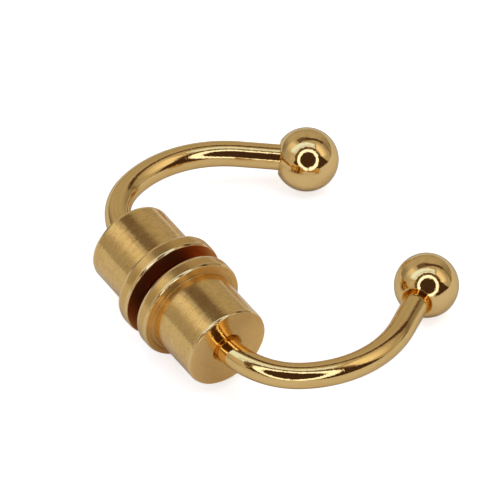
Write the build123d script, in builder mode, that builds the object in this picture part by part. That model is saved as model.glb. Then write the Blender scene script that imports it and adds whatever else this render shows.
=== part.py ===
from build123d import *
import math
import os

os.makedirs("parts", exist_ok=True)

# ------------------------------------------------------------------ driving dimensions (mm)
# Arms and balls
rod_d = 5.1  # round rod of both arms
ball_d = 12.7  # stock half-inch ball
bend_r1, bend_a1 = 14.7, 64.0  # first, tighter bend next to the barrel: radius, degrees
bend_r2, bend_a2 = 24.6, 60.8  # second, wider bend: radius, degrees
arm_straight = 13.4  # end of the second bend to the ball's centre
ball_flat_d = 6.8  # spot-faced flat on the ball around the rod
ball_sink_d = 6.2  # countersink at the mouth of the ball's bore
ball_seat = 2.0  # depth of full-size rod in the ball
stud_d = 4.0  # screwed spigots at both ends of an arm
ball_stud = 4.0  # length of the spigot in the ball

# Barrel halves
barrel_d = 17.5  # plain cylinder
flange_d = 21.7  # collar at the inner end of each half
flange_t = 3.05
half_gap = 1.7  # parting plane to the collar's inner face
half_end = 17.05  # parting plane to the end face
rim_l, rim_h = 0.55, 0.20  # shallow bevel of the collar's rims: along the axis, down the face
end_l, end_h = 0.50, 0.18  # shallow bevel of the end face's rim
rim_r, rim_face_r = 0.8, 0.15  # softened edges of the collar's bevels
end_r, end_face_r = 0.8, 0.12  # softened edges of the end bevel
root_r = 0.22  # fillet in the corner between cylinder and collar
thread_d = 13.5  # screwed mouth of the barrel
mouth_depth = 3.2
cavity_d = 12.0
end_wall = 3.0
rod_seat = 1.0  # full-size rod in the end wall
rod_sink_d = 6.6  # countersink around the rod

# Bearing plugs, one screwed into each barrel mouth
nose_d = 9.6  # slim nose of each plug, the core of the groove between the collars
face_gap = 0.15  # parting plane to each nose's face, half the friction washer
plug_t = half_gap + mouth_depth - face_gap  # nose's face to the ledge in the mouth
spanner_hole_d, spanner_depth, spanner_pcd = 1.4, 1.1, 11.5

# Spindle and what is on it
spindle_d = 5.0
spindle_len = 8.0  # parting plane to the shoulder for the retaining washer
spindle_stud = 2.8
head_d, head_t = 8.8, 2.0
slot_w, slot_t = 1.0, 0.9
dowel_d, dowel_off = 1.5, 3.45
run_c = 0.05  # radial running clearance
fit_c = 0.02  # radial clearance of fixed fits
bush_d, bush_len = 6.8, 2.55
bush_flange_d, bush_flange_t = 9.2, 0.5
pocket_d = 9.4
ring_od, ring_t = 9.2, 0.5
ring_play = 0.02  # oil film between the thrust ring and the retaining washer
retainer_t = 0.6
nut_af, nut_t = 7.0, 2.1
lock_washer_od, lock_washer_t = 7.6, 0.5
wire_d, coil_d, coils = 0.6, 7.0, 3.5

# ------------------------------------------------------------------ derived positions
rod_r, ball_r = rod_d / 2, ball_d / 2
a1, a2 = math.radians(bend_a1), math.radians(bend_a1 + bend_a2)
p1 = (half_end + bend_r1 * math.sin(a1), bend_r1 * (1 - math.cos(a1)))
c2 = (p1[0] - bend_r2 * math.sin(a1), p1[1] + bend_r2 * math.cos(a1))
p2 = (c2[0] + bend_r2 * math.sin(a2), c2[1] - bend_r2 * math.cos(a2))
heading = (math.cos(a2), math.sin(a2))
ball_c = (p2[0] + arm_straight * heading[0], p2[1] + arm_straight * heading[1])
flat_h = math.sqrt(ball_r**2 - (ball_flat_d / 2) ** 2)  # ball centre to its flat

# The puzzle lies on its two collars and two balls, so the plane of the ring dips
# towards the balls.  Origin: centre of the bounding box, on the supporting surface.
dip = math.asin((flange_d / 2 - ball_r) / ball_c[1])
axis_z = flange_d / 2
axis_y = -(ball_c[1] * math.cos(dip) + ball_r - flange_d / 2) / 2

barrel_axis = Axis((0, axis_y, axis_z), (1, 0, 0))
section = Plane(origin=(0, axis_y, axis_z), x_dir=(1, 0, 0), z_dir=(0, -1, 0))
ring = Plane(
    origin=(0, axis_y, axis_z), x_dir=(1, 0, 0), z_dir=(0, math.sin(dip), math.cos(dip))
)


def across(x):
    """Plane across the barrel axis at x, facing +X, its x along the ring's plane."""
    return Plane(
        origin=(x, axis_y, axis_z),
        x_dir=(0, math.cos(dip), -math.sin(dip)),
        z_dir=(1, 0, 0),
    )


def on_ring(x, y):
    """Point of the ring's plane in the part's frame."""
    return ring.from_local_coords(Vector(x, y, 0))


ball_dir = on_ring(*heading) - on_ring(0, 0)  # last straight of the right arm
x_flange = half_gap + flange_t
x_wall = half_end - end_wall
x_seat = half_end - rod_seat
stud_r = stud_d / 2
d_flat = 0.45  # depth of the flat that keys the arm in the end wall

# ------------------------------------------------------------------ right half
# Barrel: turned cylinder with a collar, screwed mouth, cavity and end wall
with BuildPart() as right_barrel:
    with BuildSketch(section) as barrel_profile:
        with BuildLine():
            Polyline(
                (half_gap, thread_d / 2),
                (half_gap, flange_d / 2 - rim_h),
                (half_gap + rim_l, flange_d / 2),
                (x_flange - rim_l, flange_d / 2),
                (x_flange, flange_d / 2 - rim_h),
                (x_flange, barrel_d / 2),
                (half_end - end_l, barrel_d / 2),
                (half_end, barrel_d / 2 - end_h),
                (half_end, rod_sink_d / 2),
                (half_end - (rod_sink_d / 2 - rod_r - fit_c), rod_r + fit_c),
                (x_seat, rod_r + fit_c),
                (x_seat, 0),
                (x_wall, 0),
                (x_wall, cavity_d / 2),
                (half_gap + mouth_depth, cavity_d / 2),
                (half_gap + mouth_depth, thread_d / 2),
                close=True,
            )
        make_face()
        for x, y, r in (
            (half_gap, flange_d / 2 - rim_h, rim_face_r),
            (half_gap + rim_l, flange_d / 2, rim_r),
            (x_flange - rim_l, flange_d / 2, rim_r),
            (x_flange, flange_d / 2 - rim_h, rim_face_r),
            (x_flange, barrel_d / 2, root_r),
            (half_end - end_l, barrel_d / 2, end_r),
            (half_end, barrel_d / 2 - end_h, end_face_r),
        ):
            corner = barrel_profile.vertices().sort_by_distance((x, y, 0))[0]
            fillet(corner, r)
    revolve(axis=barrel_axis)
    # keyed hole for the arm's spigot
    with BuildSketch(across(x_wall)):
        Circle(stud_r + fit_c)
        with Locations((0, -stud_r - fit_c)):
            Rectangle(stud_d, 2 * d_flat, mode=Mode.SUBTRACT)
    extrude(amount=end_wall, mode=Mode.SUBTRACT)
right_barrel.part.label = "right_barrel"
export_step(right_barrel.part, "parts/right_barrel.step")

# Bearing plug: slim nose, screwed body seated on the ledge, bush bore and spring pocket
x_bush = face_gap + bush_len
with BuildPart() as right_plug:
    with BuildSketch(section):
        with BuildLine():
            Polyline(
                (face_gap, bush_d / 2 + fit_c),
                (face_gap, nose_d / 2 - 0.15),
                (face_gap + 0.15, nose_d / 2),
                (half_gap, nose_d / 2),
                (half_gap, thread_d / 2 - fit_c),
                (face_gap + plug_t - 0.3, thread_d / 2 - fit_c),
                (face_gap + plug_t, thread_d / 2 - 0.3),
                (face_gap + plug_t, pocket_d / 2),
                (x_bush, pocket_d / 2),
                (x_bush, bush_d / 2 + fit_c),
                close=True,
            )
        make_face()
    revolve(axis=barrel_axis)
    # two pin-spanner holes in the shoulder around the nose
    with BuildSketch(across(half_gap)):
        with PolarLocations(spanner_pcd / 2, 2, start_angle=90):
            Circle(spanner_hole_d / 2)
    extrude(amount=spanner_depth, mode=Mode.SUBTRACT)
right_plug.part.label = "right_plug"
export_step(right_plug.part, "parts/right_plug.step")

# Flanged bush: runs on the spindle and seats the spring
with BuildPart() as spindle_bush:
    with BuildSketch(section):
        with BuildLine():
            Polyline(
                (face_gap, spindle_d / 2 + run_c + 0.2),
                (face_gap, bush_d / 2),
                (x_bush, bush_d / 2),
                (x_bush, bush_flange_d / 2),
                (x_bush + bush_flange_t, bush_flange_d / 2),
                (x_bush + bush_flange_t, spindle_d / 2 + run_c),
                (face_gap + 0.2, spindle_d / 2 + run_c),
                close=True,
            )
        make_face()
    revolve(axis=barrel_axis)
spindle_bush.part.label = "spindle_bush"
export_step(spindle_bush.part, "parts/spindle_bush.step")

# Arm: bent rod, a keyed and screwed spigot in the barrel, a screwed spigot in the ball
x_stud = x_wall - lock_washer_t - nut_t - 0.25
rod_end = flat_h - ball_seat  # ball centre to the end of the full-size rod
with BuildPart() as right_arm:
    with BuildLine(ring) as arm_path:
        Line((x_seat, 0), (half_end, 0))
        CenterArc((half_end, bend_r1), bend_r1, -90, bend_a1)
        CenterArc(c2, bend_r2, bend_a1 - 90, bend_a2)
        Line(
            p2,
            (ball_c[0] - rod_end * heading[0], ball_c[1] - rod_end * heading[1]),
        )
    with BuildSketch(across(x_seat)):
        Circle(rod_r)
    sweep(path=arm_path.line)
    with BuildSketch(across(x_stud)):
        Circle(stud_r)
    extrude(amount=x_seat - x_stud)
    chamfer(
        right_arm.edges().filter_by(GeomType.CIRCLE).sort_by(Axis.X)[0], 0.3
    )
    # flat that keys the spigot in the end wall
    with BuildSketch(across(x_stud)):
        with Locations((0, -stud_r)):
            Rectangle(stud_d, 2 * d_flat)
    extrude(amount=x_seat - x_stud, mode=Mode.SUBTRACT)
    # spigot in the ball
    far = Plane(
        origin=on_ring(
            ball_c[0] - rod_end * heading[0], ball_c[1] - rod_end * heading[1]
        ),
        z_dir=ball_dir,
    )
    with BuildSketch(far):
        Circle(stud_r)
    extrude(amount=ball_stud)
right_arm.part.label = "right_arm"
export_step(right_arm.part, "parts/right_arm.step")

# Lock washer and thin nut that hold the arm from inside the barrel
with BuildPart() as right_arm_washer:
    with BuildSketch(across(x_wall - lock_washer_t)):
        Circle(lock_washer_od / 2)
        Circle(stud_r + 0.15, mode=Mode.SUBTRACT)
        with Locations((0, stud_r + 1.2)):
            Rectangle(0.4, 3.0, mode=Mode.SUBTRACT)  # split of the washer
    extrude(amount=lock_washer_t)
right_arm_washer.part.label = "right_arm_washer"
export_step(right_arm_washer.part, "parts/right_arm_washer.step")

with BuildPart() as right_arm_nut:
    with BuildSketch(across(x_wall - lock_washer_t - nut_t)):
        RegularPolygon(nut_af / 2, 6, major_radius=False)
        Circle(stud_r + fit_c, mode=Mode.SUBTRACT)
    extrude(amount=nut_t)
    with BuildSketch(section):
        with BuildLine():
            Polyline(
                (x_wall - lock_washer_t - nut_t, nut_af / 2),
                (x_wall - lock_washer_t - nut_t + 0.35, nut_af / 2 + 0.6),
                (x_wall - lock_washer_t - nut_t, nut_af / 2 + 0.6),
                close=True,
            )
        make_face()
    revolve(axis=barrel_axis, mode=Mode.SUBTRACT)
right_arm_nut.part.label = "right_arm_nut"
export_step(right_arm_nut.part, "parts/right_arm_nut.step")

# Ball: spot-faced around the rod, countersunk, with a stepped screwed bore
ball_axis = Axis(on_ring(*ball_c), ball_dir)
ball_section = Plane(origin=on_ring(*ball_c), x_dir=ball_dir, z_dir=ring.z_dir)
with BuildPart() as right_ball:
    with BuildSketch(ball_section):
        with BuildLine():
            Polyline(
                (-flat_h, ball_flat_d / 2),
                (-flat_h, ball_sink_d / 2),
                (-flat_h + (ball_sink_d / 2 - rod_r - fit_c), rod_r + fit_c),
                (-rod_end + 0.05, rod_r + fit_c),
                (-rod_end + 0.05, stud_r + fit_c),
                (-rod_end + ball_stud + 0.3, stud_r + fit_c),
                (-rod_end + ball_stud + 0.3 + 1.1, 0),
                (ball_r, 0),
            )
            CenterArc(
                (0, 0),
                ball_r,
                0,
                180 - math.degrees(math.asin(ball_flat_d / 2 / ball_r)),
            )
        make_face()
    revolve(axis=ball_axis)
right_ball.part.label = "right_ball"
export_step(right_ball.part, "parts/right_ball.step")

# ------------------------------------------------------------------ left half
# The left barrel, arm, washer, nut and ball are the same pieces, the other way round.
with BuildPart() as left_barrel:
    mirror(right_barrel.part, about=Plane.YZ)
left_barrel.part.label = "left_barrel"
export_step(left_barrel.part, "parts/left_barrel.step")

with BuildPart() as left_arm:
    mirror(right_arm.part, about=Plane.YZ)
left_arm.part.label = "left_arm"
export_step(left_arm.part, "parts/left_arm.step")

with BuildPart() as left_arm_washer:
    mirror(right_arm_washer.part, about=Plane.YZ)
left_arm_washer.part.label = "left_arm_washer"
export_step(left_arm_washer.part, "parts/left_arm_washer.step")

with BuildPart() as left_arm_nut:
    mirror(right_arm_nut.part, about=Plane.YZ)
left_arm_nut.part.label = "left_arm_nut"
export_step(left_arm_nut.part, "parts/left_arm_nut.step")

with BuildPart() as left_ball:
    mirror(right_ball.part, about=Plane.YZ)
left_ball.part.label = "left_ball"
export_step(left_ball.part, "parts/left_ball.step")

# Spindle plug: holds the spindle, which is doweled to it
x_head = -(face_gap + plug_t)
with BuildPart() as left_plug:
    with BuildSketch(section):
        with BuildLine():
            Polyline(
                (-face_gap, spindle_d / 2 + fit_c),
                (-face_gap, nose_d / 2 - 0.15),
                (-face_gap - 0.15, nose_d / 2),
                (-half_gap, nose_d / 2),
                (-half_gap, thread_d / 2 - fit_c),
                (x_head + 0.3, thread_d / 2 - fit_c),
                (x_head, thread_d / 2 - 0.3),
                (x_head, spindle_d / 2 + fit_c),
                close=True,
            )
        make_face()
    revolve(axis=barrel_axis)
    with BuildSketch(across(-half_gap - spanner_depth)):
        with PolarLocations(spanner_pcd / 2, 2, start_angle=90):
            Circle(spanner_hole_d / 2)
    extrude(amount=spanner_depth, mode=Mode.SUBTRACT)
    with BuildSketch(across(x_head)):
        with Locations((dowel_off, 0)):
            Circle(dowel_d / 2 + fit_c)
    extrude(amount=2.2, mode=Mode.SUBTRACT)
left_plug.part.label = "left_plug"
export_step(left_plug.part, "parts/left_plug.step")

# ------------------------------------------------------------------ centre
# Spindle: slotted head in the left barrel, shaft through both plugs, screwed end
with BuildPart() as spindle:
    with BuildSketch(section):
        with BuildLine():
            Polyline(
                (x_head - head_t, 0),
                (x_head - head_t, head_d / 2 - 0.3),
                (x_head - head_t + 0.3, head_d / 2),
                (x_head, head_d / 2),
                (x_head, spindle_d / 2),
                (spindle_len, spindle_d / 2),
                (spindle_len, stud_r),
                (spindle_len + spindle_stud - 0.3, stud_r),
                (spindle_len + spindle_stud, stud_r - 0.3),
                (spindle_len + spindle_stud, 0),
                close=True,
            )
        make_face()
    revolve(axis=barrel_axis)
    with BuildSketch(across(x_head - head_t)):
        Rectangle(slot_w, head_d + 1)
    extrude(amount=slot_t, mode=Mode.SUBTRACT)
    with BuildSketch(across(x_head - head_t)):
        with Locations((dowel_off, 0)):
            Circle(dowel_d / 2 + fit_c)
    extrude(amount=head_t, mode=Mode.SUBTRACT)
spindle.part.label = "spindle"
export_step(spindle.part, "parts/spindle.step")

# Dowel that keeps the spindle from turning in the left plug
with BuildPart() as spindle_dowel:
    with BuildSketch(across(x_head - head_t + 0.2)):
        with Locations((dowel_off, 0)):
            Circle(dowel_d / 2)
    extrude(amount=head_t + 1.9)
    chamfer(spindle_dowel.edges().filter_by(GeomType.CIRCLE), 0.15)
spindle_dowel.part.label = "spindle_dowel"
export_step(spindle_dowel.part, "parts/spindle_dowel.step")

# Friction washer between the two noses
with BuildPart() as friction_washer:
    with BuildSketch(across(-face_gap)):
        Circle(nose_d / 2 - 0.5)
        Circle(spindle_d / 2 + 0.3, mode=Mode.SUBTRACT)
    extrude(amount=2 * face_gap)
friction_washer.part.label = "friction_washer"
export_step(friction_washer.part, "parts/friction_washer.step")

# Spring pack: coil spring and the thrust ring that it turns on
x_ring = spindle_len - ring_t - ring_play
x_seat_spring = x_bush + bush_flange_t
spring_run = x_ring - x_seat_spring - wire_d
with BuildPart() as return_spring:
    with BuildLine() as coil_path:
        Helix(
            pitch=spring_run / coils,
            height=spring_run,
            radius=coil_d / 2,
            center=(x_seat_spring + wire_d / 2, axis_y, axis_z),
            direction=(1, 0, 0),
        )
    with BuildSketch(
        Plane(origin=coil_path.line @ 0, z_dir=coil_path.line % 0)
    ):
        Circle(wire_d / 2)
    sweep(path=coil_path.line)
return_spring.part.label = "return_spring"
export_step(return_spring.part, "parts/return_spring.step")

with BuildPart() as thrust_ring:
    with BuildSketch(across(x_ring)):
        Circle(ring_od / 2)
        Circle(spindle_d / 2 + run_c, mode=Mode.SUBTRACT)
    extrude(amount=ring_t)
thrust_ring.part.label = "thrust_ring"
export_step(thrust_ring.part, "parts/thrust_ring.step")

# Retaining washer against the spindle's shoulder, and the nut that clamps it
with BuildPart() as retaining_washer:
    with BuildSketch(across(spindle_len)):
        Circle(ring_od / 2)
        Circle(stud_r + fit_c, mode=Mode.SUBTRACT)
    extrude(amount=retainer_t)
retaining_washer.part.label = "retaining_washer"
export_step(retaining_washer.part, "parts/retaining_washer.step")

with BuildPart() as spindle_nut:
    with BuildSketch(across(spindle_len + retainer_t)):
        RegularPolygon(nut_af / 2, 6, major_radius=False)
        Circle(stud_r + fit_c, mode=Mode.SUBTRACT)
    extrude(amount=nut_t)
spindle_nut.part.label = "spindle_nut"
export_step(spindle_nut.part, "parts/spindle_nut.step")
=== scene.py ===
"""Open-ring metal puzzle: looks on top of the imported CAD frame."""

import math

import bpy
from mathutils import Matrix, Vector

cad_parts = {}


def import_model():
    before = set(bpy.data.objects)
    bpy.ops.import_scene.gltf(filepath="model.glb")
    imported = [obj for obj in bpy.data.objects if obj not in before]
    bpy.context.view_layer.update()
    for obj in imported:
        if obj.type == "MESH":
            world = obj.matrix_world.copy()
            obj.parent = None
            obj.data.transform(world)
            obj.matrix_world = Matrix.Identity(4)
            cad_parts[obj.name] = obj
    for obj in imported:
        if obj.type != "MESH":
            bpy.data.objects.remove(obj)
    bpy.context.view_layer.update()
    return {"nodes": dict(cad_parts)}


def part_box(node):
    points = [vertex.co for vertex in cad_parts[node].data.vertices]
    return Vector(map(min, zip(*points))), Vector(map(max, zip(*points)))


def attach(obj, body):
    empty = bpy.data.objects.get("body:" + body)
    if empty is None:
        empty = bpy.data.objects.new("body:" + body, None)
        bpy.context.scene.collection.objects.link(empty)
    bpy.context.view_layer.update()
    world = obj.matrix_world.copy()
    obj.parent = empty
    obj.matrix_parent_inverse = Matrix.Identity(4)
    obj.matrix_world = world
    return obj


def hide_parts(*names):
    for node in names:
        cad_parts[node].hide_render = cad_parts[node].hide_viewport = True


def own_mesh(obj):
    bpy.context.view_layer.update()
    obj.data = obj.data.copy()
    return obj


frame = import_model()
MM = 0.001

# ---------------------------------------------------------------- sizes, as in the CAD model (mm)
ROD_R, BALL_R = 2.55, 6.35
R1, A1, R2, A2, STRAIGHT = 14.7, 64.0, 24.6, 60.8, 13.4
FLAT_R, SINK_R, SEAT = 3.4, 3.1, 2.0
BARREL_R, COLLAR_R, COLLAR_T = 8.75, 10.85, 3.05
GAP, END = 1.7, 17.05
RIM_L, RIM_H, END_L, END_H = 0.55, 0.20, 0.50, 0.18
THREAD_R, MOUTH, CAVITY_R, WALL = 6.75, 3.2, 6.0, 3.0
ROD_SEAT, ROD_SINK_R = 1.0, 3.3

lo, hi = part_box("right_barrel")
AXIS_Y = (lo[1] + hi[1]) / 2 / MM
AXIS_Z = (lo[2] + hi[2]) / 2 / MM

a1, a2 = math.radians(A1), math.radians(A1 + A2)
P1 = (END + R1 * math.sin(a1), R1 * (1 - math.cos(a1)))
C2 = (P1[0] - R2 * math.sin(a1), P1[1] + R2 * math.cos(a1))
P2 = (C2[0] + R2 * math.sin(a2), C2[1] - R2 * math.cos(a2))
HEAD = (math.cos(a2), math.sin(a2))
BALL_C = (P2[0] + STRAIGHT * HEAD[0], P2[1] + STRAIGHT * HEAD[1])
FLAT_H = math.sqrt(BALL_R**2 - FLAT_R**2)
ROD_END = FLAT_H - SEAT
DIP = math.asin((COLLAR_R - BALL_R) / BALL_C[1])
RING_X = Vector((1, 0, 0))
RING_Y = Vector((0, math.cos(DIP), -math.sin(DIP)))
RING_Z = Vector((0, math.sin(DIP), math.cos(DIP)))
CENTRE = Vector((0, AXIS_Y, AXIS_Z))


# ---------------------------------------------------------------- camera
RIGHT = Vector((0.5561, 0.8311, 0.0035)).normalized()
BACK = Vector((0.58, -0.3911, 0.7146))
BACK = (BACK - BACK.dot(RIGHT) * RIGHT).normalized()
UP = BACK.cross(RIGHT)
SCALE = 5.160  # picture units per millimetre, on a 500-unit frame
DIST = 1500.0


def camera():
    cam = bpy.data.cameras.new("camera")
    cam.sensor_width = 36
    cam.lens = 36 * SCALE * DIST / 500
    cam.clip_start, cam.clip_end = 0.05, 20
    ob = bpy.data.objects.new("camera", cam)
    bpy.context.collection.objects.link(ob)
    target = CENTRE + RIGHT * ((250 - 178.9) / SCALE) + UP * ((294.7 - 250) / SCALE)
    target -= BACK * ((target - Vector((0, 0, 8))).dot(BACK))
    ob.matrix_world = Matrix.Translation((target + BACK * DIST) * MM) @ Matrix(
        (RIGHT, UP, BACK)
    ).transposed().to_4x4()
    bpy.context.scene.camera = ob


camera()


# ---------------------------------------------------------------- meshes
def surface(name, rings, normals, us, vs, edge, facing=None):
    """Skin of equal rings of points, with exact normals, a UV map in metres, an edge-wear mask that also marks inner
    corners for painted shade and, on turned pieces, how far each point faces outwards (end face) or inwards (groove)
    along the axis."""
    n = len(rings[0])
    verts = [tuple(p * MM) for r in rings for p in r]
    # which way round the faces look: compared with the given normals over the whole skin
    agree = 0.0
    for i in range(len(rings) - 1):
        for j in (0, n // 3, 2 * n // 3):
            k = (j + 1) % n
            cr = (rings[i][k] - rings[i][j]).cross(rings[i + 1][j] - rings[i][j])
            agree += cr.dot(normals[i][j] + normals[i + 1][j])
    if agree < 0:
        rings = [r[::-1] for r in rings]
        normals = [r[::-1] for r in normals]
        verts = [tuple(p * MM) for r in rings for p in r]
    faces, uv = [], []
    for i in range(len(rings) - 1):
        for j in range(n):
            k = (j + 1) % n
            faces.append((i * n + j, i * n + k, (i + 1) * n + k, (i + 1) * n + j))
            w = vs * (j + 1) / n
            uv.append(
                ((us[i], vs * j / n), (us[i], w), (us[i + 1], w), (us[i + 1], vs * j / n))
            )
    me = bpy.data.meshes.new(name)
    me.from_pydata(verts, [], faces)
    layer = me.uv_layers.new(name="lay")
    flat = [c * MM for f in uv for q in f for c in q]
    layer.data.foreach_set("uv", flat)
    at = me.attributes.new("edge", "FLOAT", "POINT")
    at.data.foreach_set("value", [edge[i] for i in range(len(rings)) for _ in range(n)])
    if facing:
        at = me.attributes.new("facing", "FLOAT", "POINT")
        at.data.foreach_set("value", [facing[i] for i in range(len(rings)) for _ in range(n)])
    me.update()
    me.shade_smooth()
    me.normals_split_custom_set_from_vertices([tuple(v) for r in normals for v in r])
    ob = bpy.data.objects.new(name, me)
    bpy.context.collection.objects.link(ob)
    return ob


def soften(profile, r=0.05, steps=4, closed=False, rounds=None):
    """Profile points (along, radius) with every corner rounded; gives points, outward normals and an edge mask.
    The surface's outside is on the left of the direction of travel."""
    out = []
    m = len(profile)
    idx = range(m) if closed else range(1, m - 1)
    pts = [Vector(p) for p in profile]

    def left(d):
        return Vector((-d.y, d.x))

    def add(p, nrm, e):
        out.append((p, nrm, e))

    if not closed:
        d = (pts[1] - pts[0]).normalized()
        add(pts[0], left(d), 0)
    for i in idx:
        a, b, c = pts[i - 1], pts[i], pts[(i + 1) % m]
        d0, d1 = (b - a).normalized(), (c - b).normalized()
        turn = math.atan2(d0.cross(d1), d0.dot(d1))
        if abs(turn) < 0.02:
            add(b, left((d0 + d1).normalized()), 0)
            continue
        rc = rounds.get(i, r) if rounds else r
        t = min(rc * math.tan(abs(turn) / 2), 0.45 * (b - a).length, 0.45 * (c - b).length)
        rr = t / math.tan(abs(turn) / 2)
        start = b - d0 * t
        sgn = 1 if turn > 0 else -1
        centre = start + left(d0) * rr * sgn
        # 1 on outer roundings, -1 in an inner corner that has a radius of its own
        mask = 1.0 if turn < 0 else (-1.0 if rounds and i in rounds else 0.0)
        # the wear keeps to the rounding and does not spread over a long face beside it
        if mask and (b - a).length > 1.0:
            add(start - d0 * min(0.06, 0.05 * (b - a).length), left(d0), 0)
        for s in range(steps + 1):
            ang = turn * s / steps
            rad = start - centre
            ca, sa = math.cos(ang), math.sin(ang)
            q = centre + Vector((ca * rad.x - sa * rad.y, sa * rad.x + ca * rad.y))
            dd = Vector((ca * d0.x - sa * d0.y, sa * d0.x + ca * d0.y))
            add(q, left(dd), mask)
        if mask and (c - b).length > 1.0:
            add(b + d1 * (t + min(0.06, 0.05 * (c - b).length)), left(d1), 0)
    if not closed:
        d = (pts[-1] - pts[-2]).normalized()
        add(pts[-1], left(d), 0)
    return out


def lathe(name, prof, origin, axis, ref, seg=160, closed=True, mirror=False):
    """Turned surface: prof is a list of (point, normal, edge) in (along, radius)."""
    axis, ref = axis.normalized(), ref.normalized()
    side = axis.cross(ref)
    if closed:
        prof = prof + [prof[0]]
    rings, normals, us, edge, facing = [], [], [], [], []
    u, last = 0.0, None
    for p, nv, e in prof:
        if last is not None:
            u += (p - last).length
        last = p
        ring, nr = [], []
        for j in range(seg):
            a = 2 * math.pi * j / seg
            rad = ref * math.cos(a) + side * math.sin(a)
            ring.append(origin + axis * p.x + rad * max(p.y, 0.0))
            nr.append(axis * nv.x + rad * nv.y)
        rings.append(ring)
        normals.append(nr)
        us.append(u)
        edge.append(e)
        out = nv.x * math.copysign(1, p.x)
        facing.append(out if abs(p.x) > END - 0.35 else min(0.4, out))
    rmax = max(p.y for p, _, _ in prof)
    return surface(name, rings, normals, us, 2 * math.pi * rmax, edge, facing)


def side_vec(v, s):
    return Vector((s * v.x, v.y, v.z))


def turn_out(prof_pts):
    """Makes sure the profile's normals point out of the metal: the area is walked with the metal on the right."""
    area = 0.0
    for i, a in enumerate(prof_pts):
        b = prof_pts[(i + 1) % len(prof_pts)]
        area += a[0] * b[1] - b[0] * a[1]
    return prof_pts if area < 0 else prof_pts[::-1]


def make_turned(name, pts, s, seg=192, r=0.07, origin=CENTRE, axis=RING_X, ref=RING_Z):
    """Turned piece; a point's third number is the radius of its rounded corner."""
    pts = turn_out([(s * p[0], *p[1:]) for p in pts])
    rounds = {i: p[2] for i, p in enumerate(pts) if len(p) > 2}
    prof = soften([p[:2] for p in pts], r=r, steps=8, closed=True, rounds=rounds)
    return lathe(name, prof, origin, axis, ref, seg)


def barrel_points():
    x_col = GAP + COLLAR_T
    return [
        (END, ROD_SINK_R),
        (END, BARREL_R - END_H, 0.12),
        (END - END_L, BARREL_R, 0.8),
        (x_col, BARREL_R, 0.22),
        (x_col, COLLAR_R - RIM_H, 0.15),
        (x_col - RIM_L, COLLAR_R, 0.8),
        (GAP + RIM_L, COLLAR_R, 0.8),
        (GAP, COLLAR_R - RIM_H, 0.15),
        (GAP, THREAD_R),
        (GAP + MOUTH, THREAD_R),
        (GAP + MOUTH, CAVITY_R),
        (END - WALL, CAVITY_R),
        (END - WALL, 2.05),
        (END - ROD_SEAT, 2.05),
        (END - ROD_SEAT, ROD_R + 0.02),
        (END - (ROD_SINK_R - ROD_R - 0.02), ROD_R + 0.02),
    ]


def ball(s):
    """Ball with a spot-faced flat, a countersink and the bore down to the rod's end."""
    name = "right" if s > 0 else "left"
    o = CENTRE + side_vec(RING_X * BALL_C[0] + RING_Y * BALL_C[1], s)
    ax = side_vec(RING_X * HEAD[0] + RING_Y * HEAD[1], s)
    arc = []
    a_flat = math.pi - math.asin(FLAT_R / BALL_R)
    steps = 96
    prof = []
    for i in range(steps + 1):
        a = a_flat * i / steps
        p = Vector((BALL_R * math.cos(a), BALL_R * math.sin(a)))
        prof.append((p, p.normalized(), 0.0))
    # small rounded rim, then the flat, the countersink and the bore
    tail = [
        (BALL_R * math.cos(a_flat - 0.02), BALL_R * math.sin(a_flat - 0.02)),
        (-FLAT_H, FLAT_R),
        (-FLAT_H, SINK_R),
        (-FLAT_H + (SINK_R - ROD_R - 0.02), ROD_R + 0.02),
        (-ROD_END, ROD_R + 0.02),
        (-ROD_END, 0.02),
    ]
    # the ball is walked from its far pole to the flat, metal on the left, so normals are turned
    soft = soften(tail, r=0.05, steps=5)
    soft = [(p, -n, 1.0 if 0 < i < 7 else 0.0) for i, (p, n, e) in enumerate(soft)][1:]
    prof = prof[:-1] + soft
    return lathe(f"{name}_ball_turned", prof, o, ax, RING_Z, 160, closed=False)


def arm(s):
    """Bent rod from its seat in the end wall to its seat in the ball."""
    name = "right" if s > 0 else "left"
    stations = []  # (x, y, heading)

    def straight(p, q, h, n):
        for i in range(n):
            t = i / n
            stations.append((p[0] + (q[0] - p[0]) * t, p[1] + (q[1] - p[1]) * t, h))

    def bend(c, r, h0, sweep, n):
        for i in range(n):
            h = h0 + sweep * i / n
            stations.append((c[0] + r * math.sin(h), c[1] - r * math.cos(h), h))

    end = (BALL_C[0] - ROD_END * HEAD[0], BALL_C[1] - ROD_END * HEAD[1])
    straight((END - ROD_SEAT, 0), (END, 0), 0.0, 3)
    bend((END, R1), R1, 0.0, a1, 90)
    bend(C2, R2, a1, a2 - a1, 110)
    straight(P2, end, a2, 24)
    stations.append((end[0], end[1], a2))
    seg = 96
    rings, normals, us, edge = [], [], [], []
    u, last = 0.0, None
    caps = []
    for x, y, h in stations:
        c = CENTRE + side_vec(RING_X * x + RING_Y * y, s)
        nrm = side_vec(RING_X * -math.sin(h) + RING_Y * math.cos(h), s)
        if last is not None:
            u += (c - last).length
        last = c
        ring, nr = [], []
        for j in range(seg):
            a = 2 * math.pi * j / seg
            d = nrm * math.cos(a) + RING_Z * math.sin(a) * s
            ring.append(c + d * ROD_R)
            nr.append(d)
        rings.append(ring)
        normals.append(nr)
        us.append(u)
        edge.append(0.0)
    # close both ends towards their centres
    for where in (0, -1):
        c = sum(rings[where], Vector()) / seg
        d = (rings[1][0] - rings[0][0]).normalized() * -1 if where == 0 else (rings[-1][0] - rings[-2][0]).normalized()
        ring = [c + (p - c) * 0.01 for p in rings[where]]
        nr = [d for _ in range(seg)]
        if where == 0:
            caps.append((ring, nr))
        else:
            rings.append(ring)
            normals.append(nr)
            us.append(us[-1] + ROD_R)
            edge.append(0.0)
    rings.insert(0, caps[0][0])
    normals.insert(0, caps[0][1])
    us.insert(0, -ROD_R)
    edge.insert(0, 0.0)
    return surface(f"{name}_arm_rod", rings, normals, us, 2 * math.pi * ROD_R, edge)


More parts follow.
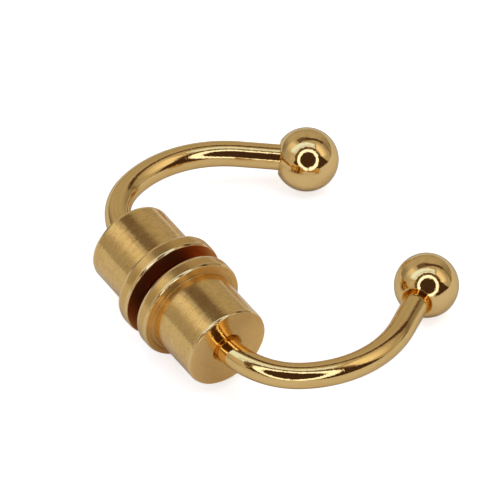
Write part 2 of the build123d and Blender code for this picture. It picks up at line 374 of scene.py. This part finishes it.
def spring():
    """Coil spring between the bush and the thrust ring."""
    wire, coil, coils, start, end = 0.3, 3.5, 3.5, 3.2, 7.48
    steps, seg = 200, 14
    rings, normals, us = [], [], []
    run = end - start - 2 * wire
    for i in range(steps + 1):
        a = 2 * math.pi * coils * i / steps
        out = RING_Y * math.cos(a) + RING_Z * math.sin(a)
        along = (
            (RING_Z * math.cos(a) - RING_Y * math.sin(a)) * coil + RING_X * run / (2 * math.pi * coils)
        ).normalized()
        side = along.cross(out)
        c = CENTRE + RING_X * (start + wire + run * i / steps) + out * coil
        nr = [out * math.cos(2 * math.pi * j / seg) + side * math.sin(2 * math.pi * j / seg) for j in range(seg)]
        for size in (0.02, 1.0) if i == 0 else (1.0, 0.02) if i == steps else (1.0,):
            rings.append([c + n * wire * size for n in nr])
            normals.append(nr)
            us.append(coil * a)
    return surface("return_spring_coil", rings, normals, us, 2 * math.pi * wire, [0.0] * len(rings))


# ---------------------------------------------------------------- node helper
class Tree:
    """Short way to write node maths."""

    def __init__(self, tree):
        self.t = tree

    def node(self, kind, **props):
        n = self.t.nodes.new(kind)
        for k, v in props.items():
            setattr(n, k, v)
        return n

    def put(self, socket, value):
        if isinstance(value, bpy.types.NodeSocket):
            self.t.links.new(value, socket)
        elif value is not None:
            socket.default_value = value

    def m(self, op, a, b=None, c=None, clamp=False):
        n = self.node("ShaderNodeMath", operation=op, use_clamp=clamp)
        self.put(n.inputs[0], a)
        self.put(n.inputs[1], b)
        self.put(n.inputs[2], c)
        return n.outputs[0]

    def v(self, op, a, b=None):
        n = self.node("ShaderNodeVectorMath", operation=op)
        self.put(n.inputs[0], a)
        if b is not None:
            self.put(n.inputs[1], b)
        return n.outputs["Value"] if op in ("DOT_PRODUCT", "LENGTH") else n.outputs[0]

    def xyz(self, x, y, z=0.0):
        n = self.node("ShaderNodeCombineXYZ")
        for s, q in zip(n.inputs, (x, y, z)):
            self.put(s, q)
        return n.outputs[0]

    def split(self, v):
        n = self.node("ShaderNodeSeparateXYZ")
        self.put(n.inputs[0], v)
        return n.outputs

    def step(self, x, a, b, lo=0.0, hi=1.0):
        n = self.node("ShaderNodeMapRange", interpolation_type="SMOOTHSTEP")
        for s, q in zip(n.inputs, (x, a, b, lo, hi)):
            self.put(s, q)
        return n.outputs[0]

    def lin(self, x, a, b, lo=0.0, hi=1.0):
        n = self.node("ShaderNodeMapRange", interpolation_type="LINEAR")
        for s, q in zip(n.inputs, (x, a, b, lo, hi)):
            self.put(s, q)
        return n.outputs[0]

    def band(self, x, a, b, soft):
        """1 between a and b, with soft edges."""
        return self.m("MULTIPLY", self.step(x, a - soft, a + soft), self.step(x, b + soft, b - soft))

    def noise(self, vec, scale, detail=2.0, rough=0.5):
        n = self.node("ShaderNodeTexNoise", noise_dimensions="3D")
        self.put(n.inputs["Vector"], vec)
        n.inputs["Scale"].default_value = scale
        n.inputs["Detail"].default_value = detail
        n.inputs["Roughness"].default_value = rough
        return n.outputs[0]

    def mix(self, f, a, b):
        n = self.node("ShaderNodeMix", data_type="RGBA", clamp_factor=True)
        self.put(n.inputs[0], f)
        self.put(n.inputs[6], a)
        self.put(n.inputs[7], b)
        return n.outputs[2]

    def blend(self, f, a, b):
        n = self.node("ShaderNodeMix", data_type="FLOAT", clamp_factor=True)
        self.put(n.inputs[0], f)
        self.put(n.inputs[2], a)
        self.put(n.inputs[3], b)
        return n.outputs[0]


def material(name):
    mat = bpy.data.materials.new(name)
    mat.use_nodes = True
    mat.node_tree.nodes.clear()
    t = Tree(mat.node_tree)
    out = t.node("ShaderNodeOutputMaterial")
    bsdf = t.node("ShaderNodeBsdfPrincipled")
    t.put(out.inputs["Surface"], bsdf.outputs[0])
    return mat, t, bsdf


# ---------------------------------------------------------------- materials
GOLD = (0.90, 0.60, 0.225, 1)
GOLD_DEEP = (0.80, 0.48, 0.15, 1)
GOLD_PALE = (0.93, 0.69, 0.33, 1)


def metal(name, base, deep, pale, rough=(0.04, 0.10), turned=0.0, polish=0.0, aniso=0.0, mottle=0.35, lay_uv=True, faced=None, rim=(0.74, 0.73, 0.70, 1)):
    """Gold-coloured brass. Grooves of the lathe run round turned pieces; polishing lines run along rods."""
    mat, t, b = material(name)
    grooved = bool(turned)
    tc = t.node("ShaderNodeTexCoord")
    obj = tc.outputs["Object"]
    if lay_uv:
        uv = t.node("ShaderNodeUVMap", uv_map="lay").outputs[0]
        u, v, _ = t.split(uv)
    else:
        # all these pieces are turned about the barrel's axis: rings on their faces and round them
        x, y, z = t.split(obj)
        y, z = t.m("SUBTRACT", y, AXIS_Y * MM), t.m("SUBTRACT", z, AXIS_Z * MM)
        u = t.m("ADD", x, t.m("SQRT", t.m("ADD", t.m("MULTIPLY", y, y), t.m("MULTIPLY", z, z))))
        v = t.m("MULTIPLY", t.m("ARCTAN2", y, z), 0.005)
    # colour: slight unevenness of the lacquered finish, deeper in patches, paler on worn edges
    cloud = t.noise(obj, 190, 4, 0.55)
    fine = t.noise(obj, 1500, 3, 0.6)
    col = t.mix(t.m("MULTIPLY", t.step(cloud, 0.42, 0.72), mottle), base, deep)
    col = t.mix(t.m("MULTIPLY", t.step(fine, 0.5, 0.8), 0.18), col, pale)
    mark = t.node("ShaderNodeAttribute", attribute_name="edge").outputs["Fac"]
    edge = t.m("MAXIMUM", mark, 0.0)
    chip = t.noise(obj, 2600, 2, 0.7)
    wear = t.m("MULTIPLY", edge, t.step(chip, 0.35, 0.6, 0.25, 0.9))
    col = t.mix(wear, col, pale)
    if grooved:
        # fine lines of the turning, in the colour as well
        dark = tuple(c * k for c, k in zip(deep, (0.66, 0.62, 0.56))) + (1,)
        lines = t.noise(t.xyz(t.m("MULTIPLY", u, 5200), t.m("MULTIPLY", v, 60), 2.0), 1.0, 2, 0.7)
        col = t.mix(t.step(lines, 0.48, 0.72, 0.0, 0.40), col, dark)
        grit = t.noise(obj, 3300, 2, 0.6)
        col = t.mix(t.step(grit, 0.48, 0.72, 0.0, 0.48), col, dark)
        blot = t.noise(obj, 800, 2, 0.6)
        col = t.mix(t.step(blot, 0.45, 0.75, 0.0, 0.30), col, dark)
        wear = t.m("MULTIPLY", wear, 0.7)
        col = t.mix(wear, col, pale)
    t.put(b.inputs["Base Color"], col)
    b.inputs["Metallic"].default_value = 1.0
    b.inputs["Specular Tint"].default_value = rim
    # roughness: handling marks and faint smears
    smear = t.noise(obj, 260, 3, 0.6)
    r = t.lin(smear, 0.3, 0.75, rough[0], rough[1])
    if faced:
        facing = t.node("ShaderNodeAttribute", attribute_name="facing").outputs["Fac"]
        flat = t.step(facing, 0.55, 0.9)
        r = t.blend(flat, r, t.lin(smear, 0.3, 0.75, faced[0], faced[1]))
        turned = t.blend(flat, float(turned), float(turned) * 0.4)
        shoulder = t.band(facing, 0.35, 0.45, 0.03)
        turned = t.blend(shoulder, turned, 2.2)
        turned = t.blend(edge, turned, 0.1)
        col = t.mix(t.m("MULTIPLY", flat, 0.55), col, (1.0, 0.62, 0.215, 1))
        # the collars are a little coarser and deeper in colour than the cylinders
        _, y, z = t.split(obj)
        y, z = t.m("SUBTRACT", y, AXIS_Y * MM), t.m("SUBTRACT", z, AXIS_Z * MM)
        rad = t.m("SQRT", t.m("ADD", t.m("MULTIPLY", y, y), t.m("MULTIPLY", z, z)))
        collar = t.m("MULTIPLY", t.step(rad, 0.0098, 0.0104), t.m("SUBTRACT", 1.0, t.m("MAXIMUM", shoulder, edge)))
        col = t.mix(t.m("MULTIPLY", collar, 0.6), col, (0.76, 0.44, 0.125, 1))
        r = t.m("ADD", r, t.m("MULTIPLY", collar, 0.07))
        # the shoulder is left as the tool cut it; its deeper orange is a painted reflection of the gold beside it, and
        # its corner is darkened with painted shade
        r = t.blend(shoulder, r, 0.39)
        # painted reflection: the shoulder is tinted deeper orange, as the gold beside it would reflect in it
        col = t.mix(t.m("MULTIPLY", shoulder, 0.5), col, (0.84, 0.46, 0.12, 1))
        # painted shade: the inner rounded corners are darkened towards dark brown
        corner = t.step(mark, -0.2, -0.8)
        col = t.mix(t.m("MULTIPLY", corner, 0.45), col, (0.50, 0.28, 0.08, 1))
        # painted shade: the groove between the collars is darkened in its colour and its edge tint
        groove = t.step(facing, -0.6, -0.9)
        t.put(b.inputs["Base Color"], t.mix(t.m("MULTIPLY", groove, t.step(smear, 0.2, 0.6, 0.8, 1.0)), col, (0.62, 0.25, 0.08, 1)))
        t.put(b.inputs["Specular Tint"], t.mix(groove, rim, (0.44, 0.23, 0.09, 1)))
        r = t.blend(groove, r, 0.30)
        r = t.blend(t.m("MULTIPLY", edge, 0.9), r, 0.08)
    # sparse scratches in two directions
    warp = t.noise(obj, 420, 2, 0.5)
    bend = t.m("MULTIPLY", t.m("SUBTRACT", warp, 0.5), 0.004)
    s1 = t.noise(t.xyz(t.m("MULTIPLY", t.m("ADD", u, bend), 9000), t.m("MULTIPLY", v, 350), 0.0), 1.0, 1, 0.5)
    scr1 = t.step(s1, 0.735, 0.78)
    s2 = t.noise(t.xyz(t.m("MULTIPLY", u, 420), t.m("MULTIPLY", t.m("ADD", v, bend), 8200), 3.7), 1.0, 1, 0.5)
    scr2 = t.step(s2, 0.745, 0.79)
    scr = t.m("MAXIMUM", scr1, scr2)
    r = t.m("ADD", r, t.m("MULTIPLY", scr, 0.07), clamp=True)
    # height in metres
    h = t.m("MULTIPLY", scr, -0.0000006)
    orange = t.noise(obj, 900, 2, 0.5)
    h = t.m("ADD", h, t.m("MULTIPLY", orange, 0.0000035))
    speck = t.noise(obj, 2600, 1, 0.5)
    h = t.m("ADD", h, t.m("MULTIPLY", t.step(speck, 0.45, 0.75), 0.0000035))
    if grooved:
        g = t.noise(t.xyz(t.m("MULTIPLY", u, 14000), t.m("MULTIPLY", v, 30), 0.0), 1.0, 2, 0.6)
        g2 = t.noise(t.xyz(t.m("MULTIPLY", u, 3600), t.m("MULTIPLY", v, 12), 5.0), 1.0, 1, 0.5)
        # the tool's feed: one shallow thread of the turning
        feed = t.m("SINE", t.m("MULTIPLY", u, 2 * math.pi / 0.00011))
        cut = t.m("ADD", t.m("MULTIPLY", g, 0.0000016), t.m("MULTIPLY", g2, 0.0000030))
        cut = t.m("ADD", cut, t.m("MULTIPLY", feed, 0.00000022))
        h = t.m("ADD", h, t.m("MULTIPLY", cut, turned))
        r = t.m("ADD", r, t.m("MULTIPLY", t.m("MULTIPLY", t.m("SUBTRACT", g2, 0.5), 0.12), turned), clamp=True)
    if polish:
        g = t.noise(t.xyz(t.m("MULTIPLY", u, 900), t.m("MULTIPLY", v, 9000), 0.0), 1.0, 2, 0.6)
        h = t.m("ADD", h, t.m("MULTIPLY", g, 0.0000007 * polish))
    bump = t.node("ShaderNodeBump")
    bump.inputs["Strength"].default_value = 1.0
    bump.inputs["Distance"].default_value = 1.0
    t.put(bump.inputs["Height"], h)
    if lay_uv:
        # the tool's chatter tips the surface a little to and fro round the axis
        nrm = t.node("ShaderNodeNewGeometry").outputs["Normal"]
        along = t.node("ShaderNodeTangent", direction_type="UV_MAP", uv_map="lay").outputs[0]
        roundabout = t.v("CROSS_PRODUCT", nrm, along)
        if grooved:
            j1 = t.noise(t.xyz(t.m("MULTIPLY", u, 2600), t.m("MULTIPLY", v, 60), 9.0), 1.0, 2, 0.6)
            amp = 0.11
            ridges = t.m("MULTIPLY", t.m("MULTIPLY", t.m("SUBTRACT", j1, 0.5), 1.8), shoulder)
        else:
            j1 = t.noise(t.xyz(t.m("MULTIPLY", u, 90), t.m("MULTIPLY", v, 1500), 9.0), 1.0, 2, 0.6)
            amp = 0.035
        j2 = t.noise(obj, 170, 2, 0.5)
        tip = t.m("ADD", t.m("MULTIPLY", t.m("SUBTRACT", j1, 0.5), amp), t.m("MULTIPLY", t.m("SUBTRACT", j2, 0.5), 0.07 if grooved else 0.03))
        lean = t.node("ShaderNodeVectorMath", operation="SCALE")
        t.put(lean.inputs[0], roundabout)
        t.put(lean.inputs["Scale"], tip)
        leant = t.v("ADD", nrm, lean.outputs[0])
        if grooved:
            # the tool's ridges on the shoulder are steeper
            steep = t.node("ShaderNodeVectorMath", operation="SCALE")
            t.put(steep.inputs[0], along)
            t.put(steep.inputs["Scale"], ridges)
            leant = t.v("ADD", leant, steep.outputs[0])
        t.put(bump.inputs["Normal"], t.v("NORMALIZE", leant))
    t.put(b.inputs["Normal"], bump.outputs[0])
    t.put(b.inputs["Roughness"], r)
    if aniso and lay_uv:
        b.inputs["Anisotropic"].default_value = aniso
        tan = t.node("ShaderNodeTangent", direction_type="UV_MAP", uv_map="lay")
        t.put(b.inputs["Tangent"], tan.outputs[0])
    return mat


M_ROD = metal("rod_polished_gold", GOLD, GOLD_DEEP, GOLD_PALE, rough=(0.035, 0.085), polish=1.0)
M_BALL = metal("ball_polished_gold", (0.93, 0.63, 0.25, 1), (0.84, 0.52, 0.18, 1), GOLD_PALE, rough=(0.02, 0.06), polish=0.25)
M_BARREL = metal("barrel_satin_gold", (0.90, 0.59, 0.21, 1), (0.82, 0.50, 0.155, 1), (0.92, 0.66, 0.30, 1), rough=(0.14, 0.19), turned=0.6, aniso=0.75, faced=(0.08, 0.13), rim=(1, 1, 1, 1))
# painted shade: the core deep in the groove between the collars is coloured dark brown
M_PLUG = metal("core_gold_painted_shade", (0.40, 0.17, 0.05, 1), (0.28, 0.10, 0.03, 1), (0.55, 0.28, 0.10, 1), rough=(0.2, 0.32), turned=0.5, lay_uv=False)
M_BRONZE = metal("bearing_bronze", (0.66, 0.38, 0.17, 1), (0.50, 0.25, 0.10, 1), (0.78, 0.50, 0.26, 1), rough=(0.22, 0.36), lay_uv=False)
M_NICKEL = metal("nickel_plate", (0.72, 0.71, 0.70, 1), (0.60, 0.57, 0.53, 1), (0.84, 0.84, 0.84, 1), rough=(0.14, 0.26), lay_uv=False)
M_SPRING = metal("oiled_spring_steel", (0.46, 0.45, 0.45, 1), (0.30, 0.27, 0.25, 1), (0.62, 0.62, 0.63, 1), rough=(0.24, 0.38), lay_uv=False)


def dress(ob, mat, body, slot, *nodes):
    ob.data.materials.clear()
    ob.data.materials.append(mat)
    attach(ob, body)
    if nodes:
        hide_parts(*nodes)


for s, side in ((1, "right"), (-1, "left")):
    body = f"{side}_half"
    dress(make_turned(f"{side}_barrel_turned", barrel_points(), s), M_BARREL, body, "satin_gold", f"{side}_barrel")
    dress(arm(s), M_ROD, body, "polished_gold", f"{side}_arm")
    dress(ball(s), M_BALL, body, "polished_gold", f"{side}_ball")

coil = spring()
dress(coil, M_SPRING, "spring_pack", "spring_steel", "return_spring")
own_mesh(coil)

for node, mat in (
    ("left_plug", M_PLUG),
    ("right_plug", M_PLUG),
    ("left_arm_washer", M_SPRING),
    ("right_arm_washer", M_SPRING),
    ("left_arm_nut", M_NICKEL),
    ("right_arm_nut", M_NICKEL),
    ("spindle", M_NICKEL),
    ("spindle_dowel", M_NICKEL),
    ("retaining_washer", M_NICKEL),
    ("spindle_nut", M_NICKEL),
    ("spindle_bush", M_BRONZE),
    ("thrust_ring", M_BRONZE),
    ("friction_washer", M_BRONZE),
):
    me = frame["nodes"][node].data
    me.materials.clear()
    me.materials.append(mat)


# ---------------------------------------------------------------- floor, world and lights
def floor():
    me = bpy.data.meshes.new("floor")
    s = 3.0
    me.from_pydata([(-s, -s, 0), (s, -s, 0), (s, s, 0), (-s, s, 0)], [], [(0, 1, 2, 3)])
    ob = bpy.data.objects.new("floor", me)
    bpy.context.collection.objects.link(ob)
    mat = bpy.data.materials.new("floor_pale")
    mat.use_nodes = True
    mat.node_tree.nodes.clear()
    t = Tree(mat.node_tree)
    out = t.node("ShaderNodeOutputMaterial")
    dif = t.node("ShaderNodeBsdfDiffuse")
    tc = t.node("ShaderNodeTexCoord")
    grain = t.noise(tc.outputs["Object"], 40, 3, 0.5)
    t.put(dif.inputs["Color"], t.mix(grain, (0.84, 0.82, 0.78, 1), (0.88, 0.86, 0.82, 1)))
    em = t.node("ShaderNodeEmission")
    em.inputs["Color"].default_value = (1, 1, 1, 1)
    em.inputs["Strength"].default_value = 0.66
    add = t.node("ShaderNodeAddShader")
    t.put(add.inputs[0], dif.outputs[0])
    t.put(add.inputs[1], em.outputs[0])
    pick = t.node("ShaderNodeMixShader")
    lp = t.node("ShaderNodeLightPath")
    t.put(pick.inputs[0], lp.outputs["Is Camera Ray"])
    t.put(pick.inputs[1], dif.outputs[0])
    t.put(pick.inputs[2], add.outputs[0])
    t.put(out.inputs["Surface"], pick.outputs[0])
    me.materials.append(mat)


floor()


def world():
    """A white light tent with one opening, towards the camera. Laid out as it appears in a mirror ball:
    X to the right and Y up, in ball radii."""
    w = bpy.data.worlds.new("tent")
    bpy.context.scene.world = w
    w.use_nodes = True
    w.node_tree.nodes.clear()
    t = Tree(w.node_tree)
    tc = t.node("ShaderNodeTexCoord")
    d = t.v("NORMALIZE", tc.outputs["Generated"])
    half = t.v("NORMALIZE", t.v("ADD", d, tuple(BACK)))
    X = t.v("DOT_PRODUCT", half, tuple(RIGHT))
    Y = t.v("DOT_PRODUCT", half, tuple(UP))
    rho = t.m("SQRT", t.m("ADD", t.m("MULTIPLY", X, X), t.m("MULTIPLY", Y, Y)))
    # everything near the lens is laid out round the ring lamp's centre
    cx, cy = 0.04, -0.03
    dx, dy = t.m("SUBTRACT", X, cx), t.m("SUBTRACT", Y, cy)
    q = t.m("SQRT", t.m("ADD", t.m("MULTIPLY", dx, dx), t.m("MULTIPLY", dy, dy)))
    ang = t.m("ARCTAN2", dy, dx)

    def both(*masks):
        out = masks[0]
        for k in masks[1:]:
            out = t.m("MULTIPLY", out, k)
        return out

    def sector(lo, hi, soft):
        return t.band(ang, math.radians(lo), math.radians(hi), soft)

    # ring lamp, with the join of its two tubes at the bottom
    join = t.step(t.m("ABSOLUTE", dx), 0.02, 0.008)
    low = t.step(dy, -0.1, -0.15)
    ring = both(t.band(q, 0.246, 0.333, 0.010), t.m("SUBTRACT", 1.0, both(join, low)))
    # the dark opening: the lens inside the ring and a corner on either side
    lens = t.step(q, 0.262, 0.24)
    right = both(
        t.step(
            t.m("SUBTRACT", t.lin(dx, 0.28, 0.655, 0.28, 0.0), t.m("ABSOLUTE", t.m("ADD", dy, 0.05))), -0.005, 0.02
        ),
        t.step(dx, 0.2, 0.25),
    )
    left = both(
        t.step(
            t.m("SUBTRACT", t.lin(dx, -0.23, -0.47, 0.22, 0.0), t.m("ABSOLUTE", t.m("ADD", dy, 0.09))), -0.005, 0.02
        ),
        t.step(dx, -0.2, -0.25),
    )
    opening = t.m("MAXIMUM", lens, t.m("MAXIMUM", left, right))
    gap = both(t.band(q, 0.32, 0.415, 0.012), t.step(dy, -0.1, 0.05))
    # soft lamp above the lens: a curved cloth with a post in front, duller right of it
    post = t.step(t.m("ABSOLUTE", t.m("SUBTRACT", X, 0.272)), 0.014, 0.034)
    seam = t.step(t.m("ABSOLUTE", t.m("SUBTRACT", q, 0.455)), 0.004, 0.022, 0.5, 1.0)
    ox, oy = t.m("ADD", X, 0.02), t.m("SUBTRACT", Y, cy)
    o = t.m("SQRT", t.m("ADD", t.m("MULTIPLY", ox, ox), t.m("MULTIPLY", oy, oy)))
    soft = both(t.step(q, 0.405, 0.425), t.step(o, 0.565, 0.535), sector(58, 154, 0.10), t.step(X, 0.30, 0.26), post, seam)
    dull = both(t.band(q, 0.425, 0.60, 0.025), sector(14, 68, 0.08), t.step(X, 0.26, 0.30), post)
    glow = both(t.band(q, 0.56, 0.74, 0.05), t.step(ang, math.radians(125), math.radians(132)), t.step(ang, math.radians(160), math.radians(138)))
    side = both(t.band(q, 0.42, 0.56, 0.03), sector(160, 190, 0.10))
    # dark frame of the cloth
    ex, ey = t.m("SUBTRACT", X, 0.12), t.m("SUBTRACT", Y, -0.02)
    e = t.m("SQRT", t.m("ADD", t.m("MULTIPLY", ex, ex), t.m("MULTIPLY", ey, ey)))
    ea = t.m("ARCTAN2", ey, ex)
    frame_top = both(
        t.step(e, 0.585, 0.625),
        t.step(e, t.lin(ea, 1.55, 1.92, 0.69, 0.765), t.lin(ea, 1.55, 1.92, 0.655, 0.725)),
        t.band(ea, math.radians(54), math.radians(126), 0.05),
    )
    frame_side = both(t.band(e, 0.62, 0.665, 0.02), t.band(ea, math.radians(5), math.radians(60), 0.15))
    shade = both(t.band(rho, 0.66, 0.88, 0.05), sector(28, 60, 0.15))
    shade = t.m("MAXIMUM", shade, both(t.band(rho, 0.72, 0.95, 0.05), sector(140, 165, 0.12)))
    # the tent itself
    tent = t.lin(Y, -1.0, 1.0, 0.60, 0.445)
    tent = t.m("MULTIPLY", tent, t.lin(rho, 0.88, 1.0, 1.0, 0.45))
    tent = t.m("MULTIPLY", tent, t.lin(X, -0.45, -0.70, 1.0, 0.80))
    tent = t.m("MULTIPLY", tent, t.lin(X, 0.55, 0.85, 1.0, 0.80))
    tent = t.m("MULTIPLY", tent, t.m("SUBTRACT", 1.0, t.m("MULTIPLY", shade, 0.30)))
    cloth = t.noise(d, 3.0, 2, 0.5)
    tent = t.m("MULTIPLY", tent, t.lin(cloth, 0.3, 0.7, 0.90, 1.08))
    dark = t.lin(t.noise(d, 14.0, 2, 0.5), 0.3, 0.7, 0.042, 0.075)
    val = t.blend(gap, tent, 0.14)
    val = t.blend(frame_side, val, 0.22)
    val = t.blend(frame_top, val, t.step(ea, math.radians(98), math.radians(108), 0.085, 0.155))
    val = t.blend(side, val, 0.58)
    val = t.blend(dull, val, t.lin(q, 0.50, 0.60, 1.0, 0.62))
    val = t.blend(glow, val, 0.82)
    val = t.blend(opening, val, dark)
    tint = t.mix(t.step(X, -0.45, -0.75), (1.0, 0.95, 0.86, 1), (1.0, 0.995, 1.01, 1))
    tint = t.mix(t.step(val, 0.30, 0.05), tint, (1.0, 0.56, 0.38, 1))
    val = t.blend(soft, val, 1.08)
    val = t.blend(ring, val, 1.70)
    tint = t.mix(soft, tint, (0.82, 1.09, 1.60, 1))
    tint = t.mix(ring, tint, (0.81, 0.98, 1.32, 1))
    bg = t.node("ShaderNodeBackground")
    t.put(bg.inputs["Color"], tint)
    t.put(bg.inputs["Strength"], val)
    out = t.node("ShaderNodeOutputWorld")
    t.put(out.inputs["Surface"], bg.outputs[0])


world()


def lamp(name, where, power, size):
    li = bpy.data.lights.new(name, "AREA")
    li.shape = "DISK"
    li.size = size
    li.energy = power
    ob = bpy.data.objects.new(name, li)
    bpy.context.collection.objects.link(ob)
    ob.location = where
    ob.rotation_euler = (Vector((0, 0, 0)) - Vector(where)).to_track_quat("-Z", "Y").to_euler()
    ob.visible_glossy = False


lamp("soft_top", (0.15, 0.25, 0.9), 1.6, 0.7)
lamp("soft_side", (-0.5, -0.3, 0.6), 0.7, 0.6)

bpy.context.scene.view_settings.view_transform = "Standard"
bpy.context.scene.view_settings.look = "None"
